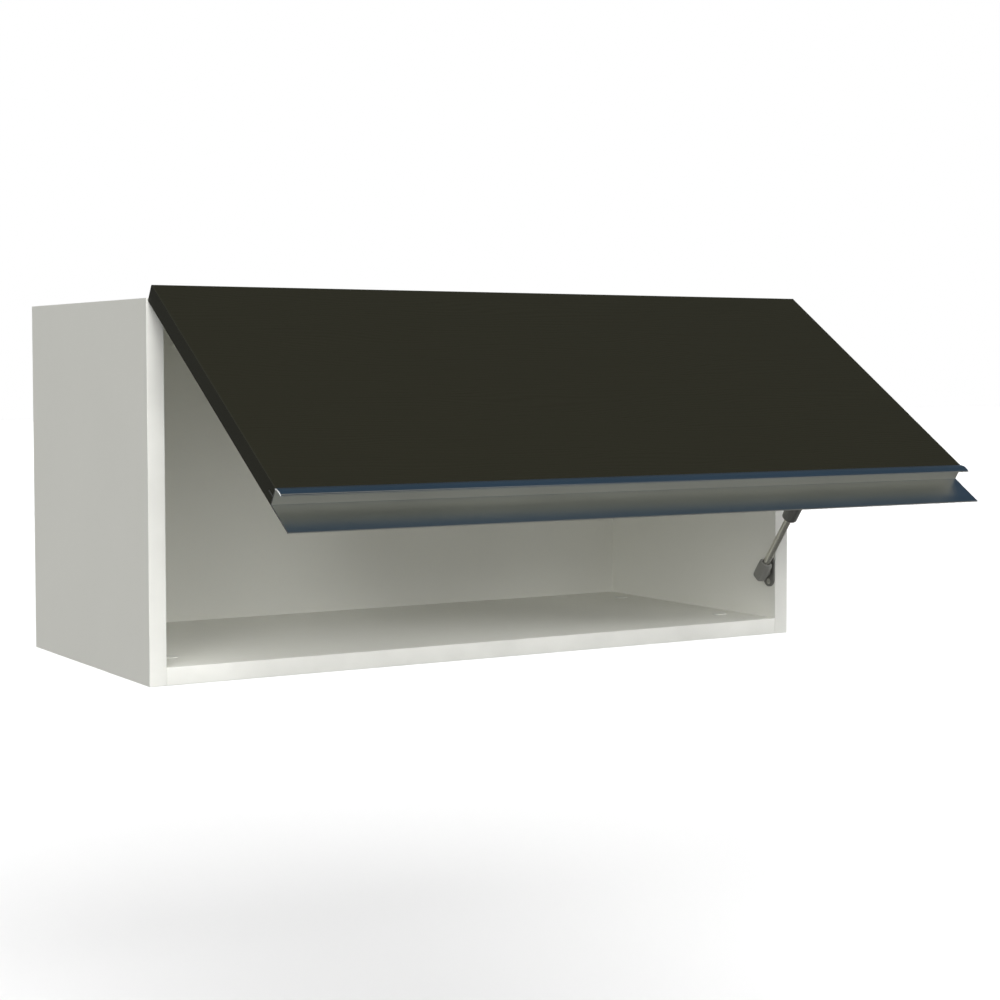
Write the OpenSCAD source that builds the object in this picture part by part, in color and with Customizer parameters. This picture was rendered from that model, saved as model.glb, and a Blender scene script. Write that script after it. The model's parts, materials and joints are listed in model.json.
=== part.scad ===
// Lift-up wall cabinet: an 18 mm board carcass, a top-hung door with a full-width
// finger profile along its lower edge, two leaf hinges and one gas strut.
// Origin: on the wall face, midway between the two wall screws.
// +Z is up, the door faces -Y, +X is to the right as seen from the front.

/* [Carcass] */
// Overall width
cabinet_w = 800; // [600:10:1200]
// Overall height
cabinet_h = 384; // [352:4:480]
// Overall depth, without the door
cabinet_d = 350; // [300:10:400]
// Thickness of the carcass boards
board_t = 18; // [16:1:22]
// Thickness of the edge bands
band_t = 1; // [0.4:0.1:2]
// Thickness of the back panel
back_t = 3; // [3:0.5:5]
// Width of the rebate that takes the back panel
rebate_w = 8; // [6:0.5:12]

/* [Door] */
// Thickness of the door board
door_t = 18; // [16:1:22]
// Gap between each end of the door and the carcass side
door_side_gap = 1.5; // [0.5:0.5:3]
// Distance from the carcass top down to the closed door's top edge
door_reveal = 3; // [2.5:0.5:5]
// Distance of the closed door from the carcass front
door_gap = 2.4; // [2.4:0.1:3.5]
// Opening of the door with the strut fully out, as drawn
open_angle = 57.1; // [40:0.1:57.8]

/* [Finger profile] */
// Height from the door board down to the tip of the inner flange
flange_h = 42; // [34:1:60]
// Wall of the profile
profile_t = 1.5; // [1.2:0.1:2.5]
// Depth of the outer lip below the door board
lip_h = 13.3; // [10:0.1:18]
// Radius of the rounded lip
lip_r = 16; // [14:0.5:20]
// How far the lip stands in front of the door
lip_crest = 2.4; // [1.5:0.1:4]
// Radius of the finger hollow
hollow_r = 14; // [6:0.5:14.5]
// Height of the tongue in the door's lower edge
tongue_h = 10; // [6:0.5:14]
// Thickness of the tongue
tongue_t = 1.2; // [1:0.1:2]
// Distance from the carcass bottom up to the tip of the closed flange
tip_rise = -1; // [-4:0.5:2]

/* [Hinges] */
// Distance from the carcass side to the middle of each hinge
hinge_inset = 100; // [70:5:180]
// Length of a hinge
hinge_l = 60; // [40:5:80]
// Number of knuckles, the outer ones on the carcass leaf
knuckles = 5; // [3:2:7]
// Radius of the knuckles
knuckle_r = 2.4; // [2.2:0.1:2.8]
// Radius of the hinge pin
pin_r = 1.2; // [0.8:0.1:1.4]
// Thickness of the leaves
leaf_t = 1; // [0.8:0.1:1.1]
// Width of the door leaf below the pin
door_leaf_w = 22; // [16:1:30]
// Depth of the pin below the door's top edge
pin_drop = 1.5; // [1:0.1:2.5]

/* [Gas strut] */
// Distance of the side ball from the carcass front
ball_inset = 10; // [9.5:0.5:14]
// Distance of the side ball below the carcass top
ball_drop = 310; // [309:1:314]
// Distance of the strut's axis from the side panel
ball_reach = 11.8; // [11.8:0.2:16]
// Radius of the ball
ball_r = 5; // [4:0.5:5]
// Distance of the door stud below the door's top edge
stud_below = 172; // [140:1:172]
// Distance of the door stud behind the door
stud_behind = 80; // [70:1:100]
// Radius of the door stud
stud_r = 2.5; // [2:0.1:2.6]
// Radius of the piston rod
rod_r = 4; // [2:0.5:4.5]
// Radius of the cylinder
tube_r = 9; // [8:0.5:9]
// Wall of the cylinder
tube_wall = 1.2; // [1:0.1:2]
// Width of the end sockets
socket_w = 18; // [15:0.5:20]
// Thickness of the end sockets
socket_t = 12; // [11:0.5:13]
// Distance from a socket's ball to its far end
socket_tail = 11.5; // [9:0.5:13]
// Distance from a socket's ball to the end that holds the rod or cylinder
socket_reach = 15.5; // [14:0.5:16.5]

/* [Joinery] */
// Distance of the cam locks and the dowels from front and back, along the panel ends
cam_inset = 69; // [60:1:90]
// Distance of the dowels from the cam locks
dowel_pitch = 32; // [25:1:40]
// Distance from a panel's end to the middle of its cam lock
cam_reach = 30; // [24:1:40]
// Radius of the cam locks
cam_r = 7.4; // [7:0.1:8]
// Radius of the cover caps
cap_r = 8.5; // [8.2:0.1:10]
// Thickness of the cover caps
cap_t = 1; // [0.8:0.1:1.5]
// Radius of the dowels
dowel_r = 4; // [3:0.5:4]
// Length of the dowels
dowel_l = 30; // [24:1:36]

/* [Wall fixing] */
// Height of the hanging rail
rail_h = 70; // [60:5:100]
// Distance between the two wall screws
wall_screw_pitch = 600; // [400:10:900]
// Radius of the wall screw holes
wall_screw_r = 4; // [3:0.5:6]

/* [Hidden] */
$fn = 64;

// Clearances and small cuts
eps = 0.01;
seat = 0.05;         // round piece in its seat
running = 0.08;      // pin, rod and piston in their bores
apart = 0.4;         // moving piece beside a fixed one

// Colours
white_board = [0.90, 0.90, 0.87];
white_band = [0.93, 0.93, 0.90];
black_door = [0.13, 0.13, 0.12];
black_band = [0.19, 0.19, 0.18];
raw_back = [0.55, 0.42, 0.29];
steel = [0.62, 0.62, 0.60];
aluminium = [0.42, 0.43, 0.42];
dark_plastic = [0.20, 0.20, 0.19];
zinc = [0.58, 0.58, 0.56];
beech = [0.78, 0.63, 0.42];

// Carcass
half_w = cabinet_w / 2;
inner_w = cabinet_w - 2 * board_t;
inner_x = inner_w / 2;
front_y = -cabinet_d;
core_front_y = front_y + band_t;
top_z = cabinet_h - board_t;
panel_d = cabinet_d - band_t - back_t;
rail_z = top_z - rail_h / 2;
rail_y = -back_t - board_t / 2;

// Joinery
cam_ys = [front_y + cam_inset, -cam_inset];
dowel_ys = [front_y + cam_inset - dowel_pitch, -cam_inset + dowel_pitch];
panel_zs = [board_t / 2, cabinet_h - board_t / 2];
cam_depth = board_t / 2 + 3.5;
bolt_r = 2.5;
bolt_in_side = 11;
bolt_bore_r = 4;
dowel_in_side = 12;
rail_dowel_zs = [rail_z - rail_h / 4, rail_z + rail_h / 4];
nail_r = 0.8;
nail_l = 18;
nail_head_r = 1.8;
nail_inset = rebate_w / 2;
nail_from_side = 50; // first nails along the top and the bottom
nail_from_end = 60;  // first nails along the sides

// Hinge pin and the door's frame
pin_y = front_y - door_gap / 2;
pin_z = cabinet_h - door_reveal - pin_drop;
door_w = cabinet_w - 2 * door_side_gap;
door_h = cabinet_h - door_reveal - tip_rise;
board_h = door_h - flange_h;
hinge_x = half_w - hinge_inset;
knuckle_l = hinge_l / knuckles;
mortise = knuckle_r - door_gap / 2 + apart;
mortise_below = pin_drop + knuckle_r + apart;
leaf_screw_r = 1.5;
leaf_screw_head_r = 2.4;
leaf_screw_l = 14;
fixed_leaf_w = pin_z - top_z - 0.5;
leaf_screw_xs = [-hinge_l / 2 + 8, 0, hinge_l / 2 - 8];

// Tongue in the door's lower edge
tongue_y = -door_t / 2;
barb = 0.35;

// A point behind the closed door, s below its top edge and n behind its inner face,
// as [y, z] with the door opened by an angle about the pin
function turned(v, a) = [v[0] * cos(a) + v[1] * sin(a), v[1] * cos(a) - v[0] * sin(a)];
function behind_door(n, s, a) = [pin_y, pin_z] + turned([n - door_gap / 2, pin_drop - s], a);

// The strut runs from the side ball to the door stud
plate_t = 2;         // both strut brackets
ball = [front_y + ball_inset, cabinet_h - ball_drop];
strut_x = inner_x - ball_reach;
strut_open = behind_door(stud_behind, stud_below, open_angle) - ball;
strut_closed = behind_door(stud_behind, stud_below, 0) - ball;
strut_lean = atan2(-strut_open[0], strut_open[1]);
strut_l = norm(strut_open);

// It is shortest where the stud passes between the pin and the ball, and longer again
// with the door closed, so it holds the door both open and shut
strut_short = norm([pin_y, pin_z] - ball) - norm([stud_behind - door_gap / 2, pin_drop - stud_below]);
stroke = strut_l - strut_short;
bottomed = 0.5;      // rod still showing where the strut is shortest
tube_l = strut_short - 2 * socket_reach - bottomed;
rod_out = stroke + bottomed;
tube_z = socket_reach + rod_out;
tube_end = 2;        // closed upper end of the cylinder
mouth_t = 1.5;       // rolled lower end
guide_l = 8;
piston_l = 5;
rod_in_socket = 7;
stub_r = 3;
stub_l = 7;
bore_r = tube_r - tube_wall;
socket_corner = 6;
socket_edge = socket_t / 2 - 0.5;      // rounding along its length
collar_r = 7;
collar_t = tube_r + 0.2 - socket_t / 2;  // the collar's face clears the cylinder

// Strut brackets
side_plate_w = 19;
side_plate_l = 37;
bracket_screw_pitch = 25;
bracket_screw_r = 1.8;
bracket_screw_head_r = 3.4;
bracket_screw_l = 14;
shank_r = 2;         // riveted end of the ball stud
stud_out = 3;        // stud's length in front of the arm
stud_shank_r = 1.6;
lug_x = strut_x - socket_t / 2 - collar_t - apart - stud_out - plate_t;
lug_r = 7;
door_plate_w = 22;
door_plate_l = 60;
plate_corner = 4;
door_screw_pitch = 44;
arm_foot = door_plate_l / 2 - 4;  // half the arm's height at the door
rim_w = 8;           // width of the arm's rim, with the arm's own thickness
door_screw_x = lug_x + plate_t - (door_plate_w + rim_w) / 2;

echo(strut_length = strut_l, closed_length = norm(strut_closed), stroke = stroke, tube = tube_l,
    lean = strut_lean, closed_lean = atan2(-strut_closed[0], strut_closed[1]),
    pin = [pin_y, pin_z - rail_z], ball = [strut_x, ball[0], ball[1] - rail_z], arm = lug_x);

// ---- Frames and shared shapes ----

// From the carcass bottom at the wall to the origin between the wall screws
module in_cabinet() { translate([0, 0, -rail_z]) children(); }

// Door coordinates: inner face at y = 0, top edge at z = 0, turned about the hinge pin
module on_door() {
    in_cabinet()
        translate([0, pin_y, pin_z]) rotate([-open_angle, 0, 0])
            translate([0, -door_gap / 2, pin_drop]) children();
}

// Strut coordinates: ball at the origin, rod and cylinder along +Z
module along_strut() {
    in_cabinet() translate([strut_x, ball[0], ball[1]]) rotate([strut_lean, 0, 0]) children();
}

// Right-hand side, or its mirror image
module on_side(side) {
    if (side < 0) mirror([1, 0, 0]) children();
    else children();
}

// A cylinder from the origin along +X
module rod_x(r, l) { rotate([0, 90, 0]) cylinder(r = r, h = l); }

// A flat-headed screw: head face at the origin, shank along +X
module screw_x(r, head_r, l, head_t) {
    rotate([0, 90, 0]) rotate_extrude()
        polygon([[0, 0], [head_r, 0], [r, head_t], [r, l - r], [0, l]]);
}

// The hole for that screw in a plate and the board behind it
module screw_hole_x(r, head_r, l, head_t) {
    rotate([0, 90, 0]) rotate_extrude()
        polygon([[0, -1], [head_r + seat, -1], [head_r + seat, 0], [r + seat, head_t],
            [r + seat, l + 1], [0, l + 1]]);
}

// Half a disc on the +X side of the Y axis, to be turned into a ball
module half_disc(r) {
    intersection() {
        circle(r);
        translate([0, -r]) square([r, 2 * r]);
    }
}

// A rounded rectangle about the origin
module rounded(w, h, r) {
    union() {
        square([w - 2 * r, h], center = true);
        square([w, h - 2 * r], center = true);
        for (x = [-1, 1], y = [-1, 1]) translate([x * (w / 2 - r), y * (h / 2 - r)]) circle(r);
    }
}

// ---- Carcass ----

module side_board(side) {
    on_side(side) difference() {
        translate([inner_x, core_front_y, 0]) cube([board_t, -core_front_y, cabinet_h]);
        // rebate for the back panel
        translate([inner_x - eps, -back_t, -eps]) cube([rebate_w + eps, back_t + 1, cabinet_h + 1]);
        for (z = panel_zs) {
            for (y = cam_ys) translate([inner_x - eps, y, z]) rod_x(bolt_r, bolt_in_side);
            for (y = dowel_ys)
                translate([inner_x - eps, y, z]) rod_x(dowel_r + seat, dowel_in_side + 0.5);
        }
        for (z = rail_dowel_zs)
            translate([inner_x - eps, rail_y, z]) rod_x(dowel_r + seat, dowel_in_side + 0.5);
        if (side > 0) strut_side_screw_holes();
        back_nail_holes();
    }
}

module side_panel_left() { color(white_board) in_cabinet() side_board(-1); }

module side_panel_right() { color(white_board) in_cabinet() side_board(1); }

// A top or bottom board with its cam lock, bolt and dowel bores, upper face at z
module shelf_board(z) {
    difference() {
        translate([-inner_x, core_front_y, z - board_t]) cube([inner_w, panel_d, board_t]);
        for (side = [-1, 1]) on_side(side) {
            for (y = cam_ys) {
                translate([inner_x - cam_reach, y, z - cam_depth])
                    cylinder(r = cam_r + seat, h = cam_depth + 1);
                translate([inner_x - cam_reach, y, z - board_t / 2]) rod_x(bolt_bore_r, cam_reach + 1);
            }
            for (y = dowel_ys)
                translate([inner_x - dowel_l + dowel_in_side - 0.5, y, z - board_t / 2])
                    rod_x(dowel_r + seat, dowel_l);
        }
    }
}

module top_panel() {
    color(white_board) in_cabinet() difference() {
        shelf_board(cabinet_h);
        hinge_cuts();
        back_nail_holes();
    }
}

module bottom_panel() {
    color(white_board) in_cabinet() difference() {
        shelf_board(board_t);
        back_nail_holes();
    }
}

module back_panel() {
    play = 0.5;
    color(raw_back) in_cabinet() difference() {
        translate([-inner_x - rebate_w + play, -back_t, play])
            cube([inner_w + 2 * rebate_w - 2 * play, back_t, cabinet_h - 2 * play]);
        wall_screw_holes();
        back_nail_holes();
    }
}

module hanging_rail() {
    color(white_board) in_cabinet() difference() {
        translate([-inner_x, rail_y - board_t / 2, top_z - rail_h]) cube([inner_w, board_t, rail_h]);
        wall_screw_holes();
        for (side = [-1, 1], z = rail_dowel_zs)
            on_side(side) translate([inner_x - dowel_l + dowel_in_side - 0.5, rail_y, z])
                rod_x(dowel_r + seat, dowel_l);
    }
}

module wall_screw_holes() {
    for (side = [-1, 1]) translate([side * wall_screw_pitch / 2, 1, rail_z])
        rotate([90, 0, 0]) cylinder(r = wall_screw_r, h = back_t + board_t + 2);
}

// Edge bands along the front of the carcass
module side_band(side) {
    color(white_band) in_cabinet() on_side(side)
        translate([inner_x, front_y, 0]) cube([board_t, band_t, cabinet_h]);
}

module side_edge_band_left() { side_band(-1); }

module side_edge_band_right() { side_band(1); }

module shelf_band(z) { translate([-inner_x, front_y, z - board_t]) cube([inner_w, band_t, board_t]); }

module top_edge_band() {
    color(white_band) in_cabinet() difference() {
        shelf_band(cabinet_h);
        hinge_cuts();
    }
}

module bottom_edge_band() { color(white_band) in_cabinet() shelf_band(board_t); }

// ---- Joinery ----

// Every cam position: children get +Z out of the board's face and +X towards the side panel
module at_cams() {
    for (z = panel_zs, side = [-1, 1], y = cam_ys)
        on_side(side) translate([inner_x - cam_reach, y, z]) children();
}

module cam_locks() {
    head_r = 3.4;
    color(zinc) in_cabinet() at_cams() difference() {
        translate([0, 0, -cam_depth + board_t / 2 + 0.2]) cylinder(r = cam_r, h = cam_depth - 0.4);
        // pocket round the bolt's head, and the slot for its neck
        translate([0, 0, -head_r - 0.2]) cylinder(r = head_r + 0.8, h = 2 * head_r + 0.4);
        translate([0, -2.4, -2.4]) cube([cam_r + 1, 4.8, 4.8]);
        // cross recess and the socket for the cap
        translate([0, 0, board_t / 2 - 2.6]) cylinder(r = 2, h = 3);
        for (a = [0, 90]) rotate(a) translate([-4.5, -0.6, board_t / 2 - 1.8]) cube([9, 1.2, 2]);
    }
}

module cam_bolts() {
    head_r = 3.2;
    neck_r = 2;
    collar_r = 3.6;
    color(steel) in_cabinet() at_cams() rotate([0, 90, 0]) rotate_extrude() polygon([
        [0, -1.5], [head_r, -1.5], [head_r, 1.5], [neck_r, 2.2], [neck_r, cam_r + 2],
        [collar_r, cam_r + 3], [collar_r, cam_reach], [bolt_r - seat, cam_reach],
        [bolt_r - seat, cam_reach + bolt_in_side - 2], [0, cam_reach + bolt_in_side - 0.5]]);
}

// A dowel with chamfered ends, from the origin along +X
module dowel_x() {
    rotate([0, 90, 0]) rotate_extrude() polygon([[0, 0], [dowel_r - 1, 0], [dowel_r, 1],
        [dowel_r, dowel_l - 1], [dowel_r - 1, dowel_l], [0, dowel_l]]);
}

module panel_dowels() {
    color(beech) in_cabinet() for (z = panel_zs, side = [-1, 1], y = dowel_ys)
        on_side(side) translate([inner_x - dowel_l + dowel_in_side, y, z]) dowel_x();
}

module rail_dowels() {
    color(beech) in_cabinet() for (side = [-1, 1], z = rail_dowel_zs)
        on_side(side) translate([inner_x - dowel_l + dowel_in_side, rail_y, z]) dowel_x();
}

// Cover caps: a low dome with a spigot in the cam's socket
module cam_caps() {
    edge = 0.4;
    color(white_band) in_cabinet() at_cams() translate([0, 0, board_t / 2]) rotate_extrude() {
        polygon([[0, 0], [cap_r, 0], [cap_r, cap_t - edge], [cap_r - edge, cap_t - 0.1],
            [cap_r - 3, cap_t], [0, cap_t]]);
        translate([0, -2.2]) square([1.9, 2.3]);
    }
}

// Small nails through the back panel into the boards behind its edge
module at_back_nails() {
    xs = [for (i = [0:5]) -inner_x + nail_from_side + i * (inner_w - 2 * nail_from_side) / 5];
    zs = [for (i = [0:2]) nail_from_end + i * (cabinet_h - 2 * nail_from_end) / 2];
    for (x = xs, z = panel_zs) translate([x, 0, z]) rotate([90, 0, 0]) children();
    for (side = [-1, 1], z = zs)
        translate([side * (inner_x + nail_inset), 0, z]) rotate([90, 0, 0]) children();
}

module back_nail_holes() {
    at_back_nails() rotate_extrude() polygon([[0, -1], [nail_head_r + seat, -1],
        [nail_head_r + seat, 0.6], [nail_r + seat, 0.6], [nail_r + seat, nail_l + 0.5], [0, nail_l + 0.5]]);
}

module back_nails() {
    color(steel) in_cabinet() at_back_nails() rotate_extrude() polygon([[0, 0.05],
        [nail_head_r, 0.05], [nail_head_r, 0.6], [nail_r, 0.6], [nail_r, nail_l - 1.5], [0, nail_l]]);
}

// ---- Hinges ----

// Recesses in the top board and its band for the knuckles, and the leaf's screw holes
module hinge_cuts() {
    for (side = [-1, 1]) translate([side * hinge_x, 0, 0]) {
        translate([-hinge_l / 2 - 0.5, front_y - 1, pin_z - knuckle_r - apart])
            cube([hinge_l + 1, 1 + mortise, cabinet_h]);
        fixed_leaf_screws() screw_hole_x(leaf_screw_r, leaf_screw_head_r, leaf_screw_l, leaf_t);
    }
}

// Screw places on the carcass leaf, shanks into the top board
module fixed_leaf_screws() {
    for (x = leaf_screw_xs)
        translate([x, front_y - leaf_t, top_z + 0.5 + leaf_screw_head_r + 1]) rotate([0, 0, 90]) children();
}

// Screw places on the door leaf, in door coordinates, shanks into the door
module door_leaf_screws() {
    for (x = leaf_screw_xs)
        translate([x, leaf_t, -door_leaf_w + 5]) rotate([0, 0, -90]) children();
}

// Knuckles 0, 2, 4 ... carry the carcass leaf and 1, 3 ... the door leaf
module knuckle_barrels(first, r, extra) {
    for (i = [first:2:knuckles - 1])
        translate([-hinge_l / 2 + i * knuckle_l + 0.1 - extra, 0, 0]) rod_x(r, knuckle_l - 0.2 + 2 * extra);
}

// One leaf about the pin: a plate hanging below it, flush with the barrels on its back face
module hinge_leaf(first, w, back) {
    front = back > 0 ? back - leaf_t : back;
    difference() {
        union() {
            knuckle_barrels(first, knuckle_r, 0);
            translate([-hinge_l / 2, front, -w]) cube([hinge_l, leaf_t, w - 0.2]);
        }
        knuckle_barrels(1 - first, knuckle_r + 0.3, 0.1);
        translate([-hinge_l / 2 - 1, 0, 0]) rod_x(pin_r + running, hinge_l + 2);
    }
}

module fixed_leaf(side) {
    color(steel) in_cabinet() difference() {
        translate([side * hinge_x, pin_y, pin_z]) hinge_leaf(0, fixed_leaf_w, door_gap / 2);
        translate([side * hinge_x, 0, 0]) fixed_leaf_screws()
            screw_hole_x(leaf_screw_r, leaf_screw_head_r, leaf_screw_l, leaf_t);
    }
}

module door_leaf(side) {
    color(steel) on_door() difference() {
        translate([side * hinge_x, door_gap / 2, -pin_drop])
            hinge_leaf(1, door_leaf_w - pin_drop, -door_gap / 2);
        translate([side * hinge_x, 0, 0]) door_leaf_screws()
            screw_hole_x(leaf_screw_r, leaf_screw_head_r, leaf_screw_l, leaf_t);
    }
}

module hinge_pin(side) {
    color(steel) in_cabinet() translate([side * hinge_x - hinge_l / 2, pin_y, pin_z]) rod_x(pin_r, hinge_l);
}

module hinge_left_fixed_leaf() { fixed_leaf(-1); }

module hinge_right_fixed_leaf() { fixed_leaf(1); }

module hinge_left_door_leaf() { door_leaf(-1); }

module hinge_right_door_leaf() { door_leaf(1); }

module hinge_left_pin() { hinge_pin(-1); }

module hinge_right_pin() { hinge_pin(1); }

module hinge_fixed_screws() {
    color(zinc) in_cabinet() for (side = [-1, 1]) translate([side * hinge_x, 0, 0])
        fixed_leaf_screws() screw_x(leaf_screw_r, leaf_screw_head_r, leaf_screw_l, leaf_t);
}

module hinge_door_screws() {
    color(zinc) on_door() for (side = [-1, 1]) translate([side * hinge_x, 0, 0])
        door_leaf_screws() screw_x(leaf_screw_r, leaf_screw_head_r, leaf_screw_l, leaf_t);
}

// ---- Door ----

// Recesses for the knuckles and the door leaves' screws, in door coordinates
module door_hinge_cuts() {
    for (side = [-1, 1]) translate([side * hinge_x, 0, 0]) {
        translate([-hinge_l / 2 - 0.5, -mortise, -mortise_below])
            cube([hinge_l + 1, mortise + 1, mortise_below + 1]);
        door_leaf_screws() screw_hole_x(leaf_screw_r, leaf_screw_head_r, leaf_screw_l, leaf_t);
    }
}

// Groove in the door's lower edge for the profile's tongue
module tongue_groove() {
    w = tongue_t + 2 * barb + 0.1;
    translate([-door_w / 2 - 1, tongue_y - w / 2, -board_h - 1]) cube([door_w + 2, w, tongue_h + 1.4]);
}

module door_panel() {
    color(black_door) on_door() difference() {
        translate([-door_w / 2 + band_t, -door_t, -board_h])
            cube([door_w - 2 * band_t, door_t, board_h - band_t]);
        door_hinge_cuts();
        tongue_groove();
        strut_door_screw_holes();
    }
}

module door_side_band(side) {
    color(black_band) on_door() difference() {
        translate([side > 0 ? door_w / 2 - band_t : -door_w / 2, -door_t, -board_h])
            cube([band_t, door_t, board_h - band_t]);
        tongue_groove();
    }
}

module door_edge_band_left() { door_side_band(-1); }

module door_edge_band_right() { door_side_band(1); }

module door_edge_band_top() {
    color(black_band) on_door() difference() {
        translate([-door_w / 2, -door_t, -band_t]) cube([door_w, door_t, band_t]);
        door_hinge_cuts();
    }
}

// Section of the finger profile: x runs from the outer face to the inner one, y up
module profile_section() {
    lip_x = -door_t - lip_crest + lip_r;
    lip_y = -sqrt(pow(lip_r, 2) - pow(lip_r - lip_crest, 2));
    tip_r = profile_t / 2;
    mid_r = lip_r - tip_r;
    tip_y = -lip_h + tip_r;
    tip_x = lip_x - sqrt(pow(mid_r, 2) - pow(tip_y - lip_y, 2));
    union() {
        // web under the door board
        translate([-door_t - 0.2, -profile_t]) square([door_t + 0.2, profile_t]);
        // flange behind the finger hollow, with a rounded tip
        translate([-profile_t, -flange_h + tip_r]) square([profile_t, flange_h - tip_r]);
        translate([-tip_r, -flange_h + tip_r]) circle(tip_r);
        // rounded inner corner of the hollow
        difference() {
            translate([-profile_t - hollow_r, -profile_t - hollow_r])
                square([hollow_r + eps, hollow_r + eps]);
            translate([-profile_t - hollow_r, -profile_t - hollow_r]) circle(hollow_r);
        }
        // lip that curves out in front of the door
        difference() {
            intersection() {
                translate([lip_x, lip_y]) circle(lip_r);
                translate([-door_t - lip_r, tip_y]) square([lip_r + 4, -tip_y]);
            }
            translate([lip_x, lip_y]) circle(lip_r - profile_t);
        }
        translate([tip_x, tip_y]) circle(tip_r);
        // barbed tongue in the door's groove
        translate([tongue_y - tongue_t / 2, -eps]) square([tongue_t, tongue_h + eps]);
        for (h = [tongue_h * 0.35, tongue_h * 0.6, tongue_h * 0.85])
            translate([tongue_y, h]) polygon([[-tongue_t / 2 - barb, 0], [tongue_t / 2 + barb, 0],
                [tongue_t / 2, 1], [-tongue_t / 2, 1]]);
    }
}

module handle_profile() {
    color(aluminium) on_door() translate([-door_w / 2, 0, -board_h])
        rotate([90, 0, 90]) linear_extrude(door_w) profile_section();
}

// ---- Gas strut ----

// Screw places in the side bracket, shanks into the side panel
module at_side_bracket_screws() {
    for (k = [-1, 1])
        translate([inner_x - plate_t, ball[0], ball[1] + k * bracket_screw_pitch / 2]) children();
}

module strut_side_screw_holes() {
    at_side_bracket_screws() screw_hole_x(bracket_screw_r, bracket_screw_head_r, bracket_screw_l, plate_t);
}

module strut_side_bracket() {
    color(dark_plastic) in_cabinet() difference() {
        translate([inner_x - plate_t, ball[0], ball[1]]) rotate([90, 0, 90])
            linear_extrude(plate_t) rounded(side_plate_w, side_plate_l, side_plate_w / 2 - eps);
        strut_side_screw_holes();
        translate([inner_x - plate_t - 1, ball[0], ball[1]]) rod_x(shank_r + seat, plate_t + 2);
    }
}

// Ball, neck, and the shank riveted in the plate
module strut_side_ball_stud() {
    neck_r = 2.5;
    shoulder_r = 3.6;
    plate_z = ball_reach - plate_t;
    color(steel) in_cabinet() translate([strut_x, ball[0], ball[1]]) rotate([0, 90, 0]) rotate_extrude() {
        half_disc(ball_r);
        square([neck_r, plate_z]);
        translate([0, plate_z - 1]) square([shoulder_r, 1]);
        translate([0, plate_z - 1]) square([shank_r, plate_t + 0.9]);
    }
}

module strut_side_screws() {
    color(zinc) in_cabinet() at_side_bracket_screws()
        screw_x(bracket_screw_r, bracket_screw_head_r, bracket_screw_l, plate_t);
}

// An end socket: ball at the origin, mouth towards +X, rod or cylinder end at +Z
module end_socket() {
    l = socket_tail + socket_reach;
    mid = (socket_reach - socket_tail) / 2;
    difference() {
        union() {
            intersection() {
                translate([-socket_t / 2, 0, mid]) rotate([90, 0, 90])
                    linear_extrude(socket_t) rounded(socket_w, l, socket_corner);
                translate([0, socket_w / 2, mid]) rotate([90, 0, 0])
                    linear_extrude(socket_w) rounded(socket_t, l, 2);
                translate([0, 0, -socket_tail]) linear_extrude(l) rounded(socket_t, socket_w, socket_edge);
            }
            // collar round the mouth
            rod_x(collar_r, socket_t / 2 + collar_t);
        }
        // seat and mouth for the ball
        rotate([0, 90, 0]) rotate_extrude() {
            half_disc(ball_r + running);
            square([ball_r * 0.8, socket_t]);
        }
    }
}

module strut_rod_socket() {
    color(dark_plastic) along_strut() difference() {
        end_socket();
        translate([0, 0, socket_reach - rod_in_socket]) cylinder(r = rod_r + seat, h = rod_in_socket + 1);
        // notch where the rod leaves
        translate([0, 0, socket_reach - 2.5]) cylinder(r = rod_r + 0.8, h = 4);
    }
}

module strut_rod() {
    color(steel) along_strut() translate([0, 0, socket_reach - rod_in_socket + 0.2])
        cylinder(r = rod_r, h = rod_in_socket - 0.2 + rod_out + mouth_t + guide_l + piston_l + 1);
}

module strut_piston() {
    color(steel) along_strut() translate([0, 0, tube_z + mouth_t + guide_l + 0.5]) difference() {
        cylinder(r = bore_r - running, h = piston_l);
        translate([0, 0, -1]) cylinder(r = rod_r + seat, h = piston_l + 2);
        // ring groove
        translate([0, 0, piston_l / 2 - 1]) difference() {
            cylinder(r = bore_r + 1, h = 2);
            translate([0, 0, -1]) cylinder(r = bore_r - 1.2, h = 4);
        }
    }
}

// Tube with a rolled mouth, a closed upper end and a stub for the socket
module strut_cylinder() {
    roll = 2.5;
    color(dark_plastic) along_strut() translate([0, 0, tube_z]) difference() {
        rotate_extrude() union() {
            translate([0, roll]) square([tube_r, tube_l - roll - 1]);
            square([tube_r - roll, roll + 1]);
            translate([tube_r - roll, roll]) intersection() {
                circle(roll);
                translate([0, -roll]) square([roll, 2 * roll]);
            }
            polygon([[0, tube_l - 1 - eps], [tube_r, tube_l - 1 - eps], [tube_r - 1, tube_l], [0, tube_l]]);
            translate([0, tube_l - 1]) square([stub_r, stub_l + 1]);
        }
        translate([0, 0, mouth_t]) cylinder(r = bore_r, h = tube_l - mouth_t - tube_end);
        translate([0, 0, -1]) cylinder(r = rod_r + apart, h = mouth_t + 2);
    }
}

// Guide and seal that carry the rod in the cylinder's mouth
module strut_rod_guide() {
    color(zinc) along_strut() translate([0, 0, tube_z + mouth_t]) difference() {
        cylinder(r = bore_r - seat, h = guide_l);
        translate([0, 0, -1]) cylinder(r = rod_r + running, h = guide_l + 2);
    }
}

module strut_cylinder_socket() {
    color(dark_plastic) along_strut() translate([0, 0, strut_l]) rotate([0, 180, 0]) difference() {
        end_socket();
        translate([0, 0, socket_reach - stub_l - 0.2]) cylinder(r = stub_r + seat, h = stub_l + 1);
    }
}

// Screw places in the door bracket, in door coordinates, shanks into the door
module at_door_bracket_screws() {
    for (k = [-1, 1])
        translate([door_screw_x, plate_t, -stud_below + k * door_screw_pitch / 2])
            rotate([0, 0, -90]) children();
}

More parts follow.
